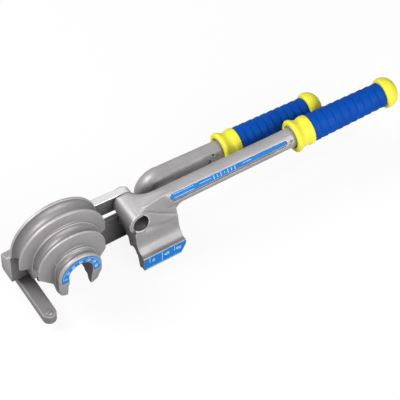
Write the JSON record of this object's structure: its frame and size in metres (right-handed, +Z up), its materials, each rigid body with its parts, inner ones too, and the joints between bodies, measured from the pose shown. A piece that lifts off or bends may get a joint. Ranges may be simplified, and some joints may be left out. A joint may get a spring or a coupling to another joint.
{
  "type": "hand tube bender",
  "caption": "Hand tube bender: stepped half-round former with grooves for several tube sizes, a pivoting link, a grooved shoe on a long handle, a swinging latch and ribbed coloured grips.",
  "frame": {"origin": "on the former's axis, at the back face of its large flange", "axes": "+X along the handles away from the former, +Y along the former's axis from its small end to its large flange, +Z up toward the crown of the half wheel"},
  "size_m": [0.3744, 0.0751, 0.097],
  "materials": {
    "casting": "satin cast",
    "link_steel": "bright plated",
    "pin_steel": "turned",
    "dark_steel": "dull plated",
    "bumper": "matt",
    "yellow_grip": "satin",
    "blue_grip": "soft",
    "label": "printed film"
  },
  "bodies": {
    "former": {"former": "casting", "centre_pin": "pin_steel", "centre_washer": "pin_steel", "centre_ring": "dark_steel", "latch_pin": "pin_steel", "latch_washer": "pin_steel", "latch_bumper": "bumper", "back_collar": "yellow_grip", "back_sleeve": "blue_grip", "back_cap": "yellow_grip", "scale_label": "label"},
    "link": {"link": "link_steel", "shoe_pin": "pin_steel", "shoe_washer": "pin_steel", "shoe_ring": "dark_steel"},
    "shoe": {"shoe_handle": "casting", "front_collar": "yellow_grip", "front_sleeve": "blue_grip", "front_cap": "yellow_grip", "shoe_label": "label", "handle_label": "label"},
    "latch": {"latch_arm": "dark_steel", "latch_stud": "dark_steel"}
  },
  "joints": [
    {"name": "link_pivot", "type": "hinge", "parent": "former", "child": "link", "pos_m": [0, 0, 0], "axis": [0, -1, 0], "range_deg": [0, 180]},
    {"name": "shoe_pivot", "type": "hinge", "parent": "link", "child": "shoe", "pos_m": [0.0688, 0, -0.005], "axis": [0, -1, 0], "range_deg": [-94, 45]},
    {"name": "latch_pivot", "type": "hinge", "parent": "former", "child": "latch", "pos_m": [-0.031, 0.0075, -0.0439], "axis": [0, 0, -1], "range_deg": [-8, 70]}
  ]
}
